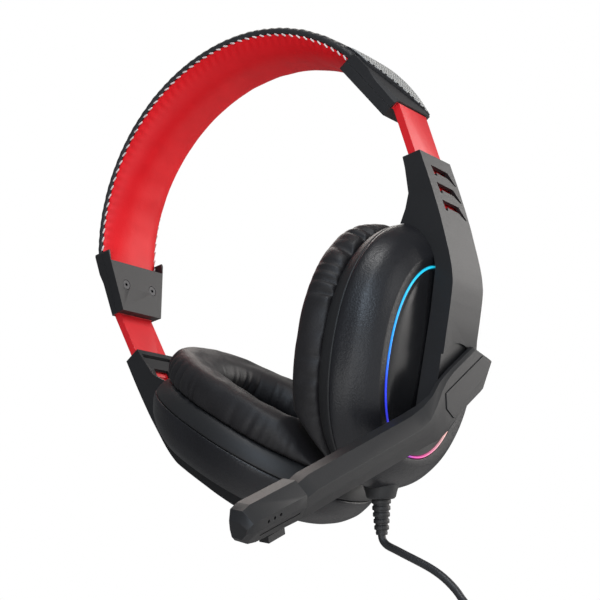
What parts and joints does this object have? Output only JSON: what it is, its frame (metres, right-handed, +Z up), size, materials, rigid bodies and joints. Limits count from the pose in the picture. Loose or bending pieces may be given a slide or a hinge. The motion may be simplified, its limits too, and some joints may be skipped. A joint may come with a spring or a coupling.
{
  "type": "gaming headset",
  "caption": "Over-ear headset with a padded headband, sliding forked yokes, closed oval cups, a swinging microphone arm and a light-powering lead.",
  "frame": {"origin": "midway between the ear cushions, at the middle of the wearer's head", "axes": "+Z up as worn, +X towards the wearer's left, where the microphone arm is, -Y towards the wearer's front"},
  "size_m": [0.1664, 0.1541, 0.3672],
  "materials": {
    "black_leatherette": "soft black leatherette",
    "red_leatherette": "smooth red leatherette",
    "cushion_leatherette": "soft wrinkled black protein leather",
    "black_cloth": "thin woven cloth",
    "spring_steel": "rolled spring steel",
    "red_plastic": "satin red moulding",
    "black_matte": "fine matte texture",
    "black_satin": "fine satin texture",
    "black_gloss": "smooth semi-gloss",
    "screw_black": "black oxide",
    "screw_steel": "zinc plated",
    "light_guide": "diffusing clear light guide",
    "board_green": "solder-masked board",
    "driver_metal": "stamped steel",
    "cone_film": "thin clear film",
    "black_rubber": "moulded soft rubber",
    "lead_jacket": "matte lead jacket",
    "plug_metal": "nickel plated",
    "thread": "spun sewing thread"
  },
  "bodies": {
    "headband": {"band_cover": "black_leatherette", "band_pad": "red_leatherette", "band_spring": "spring_steel", "left_bar": "red_plastic", "left_cap_outer": "black_matte", "left_cap_inner": "black_matte", "left_cap_screws": "screw_black", "right_bar": "red_plastic", "right_cap_outer": "black_matte", "right_cap_inner": "black_matte", "right_cap_screws": "screw_black"},
    "left_side": {"left_yoke": "black_matte", "left_yoke_liner": "black_matte", "left_cup": "black_satin", "left_face": "black_gloss", "left_light": "light_guide", "left_light_board": "board_green", "left_baffle": "black_matte", "left_driver": "driver_metal", "left_cone": "cone_film", "left_cushion": "cushion_leatherette", "left_cloth": "black_cloth", "left_screws": "screw_steel", "left_yoke_screws": "screw_steel", "arm_mount": "black_matte", "arm_screw": "screw_steel", "lead_collar": "black_rubber", "lead_sleeve": "black_rubber", "lead": "lead_jacket", "lead_coil": "lead_jacket", "coil_tie": "black_rubber", "lead_tail": "lead_jacket", "plug_body": "black_matte", "plug_shell": "plug_metal"},
    "right_side": {"right_yoke": "black_matte", "right_yoke_liner": "black_matte", "right_cup": "black_satin", "right_face": "black_gloss", "right_light": "light_guide", "right_light_board": "board_green", "right_baffle": "black_matte", "right_driver": "driver_metal", "right_cone": "cone_film", "right_cushion": "cushion_leatherette", "right_cloth": "black_cloth", "right_screws": "screw_steel", "right_yoke_screws": "screw_steel"},
    "mic_arm": {"arm_beam": "black_matte", "arm_panel": "black_matte", "mic_shell": "black_matte", "mic_cover": "black_gloss", "mic_capsule": "driver_metal"}
  },
  "joints": [
    {"name": "left_slider", "type": "slide", "parent": "headband", "child": "left_side", "axis": [-0.0993, 0, -0.9951], "range_m": [-0.015, 0.012]},
    {"name": "right_slider", "type": "slide", "parent": "headband", "child": "right_side", "axis": [0.0993, 0, -0.9951], "range_m": [-0.015, 0.012]},
    {"name": "arm_pivot", "type": "hinge", "parent": "left_side", "child": "mic_arm", "pos_m": [0.05082, 0, -0.02378], "axis": [-0.829, 0, 0.5592], "range_deg": [-35, 75]}
  ]
}
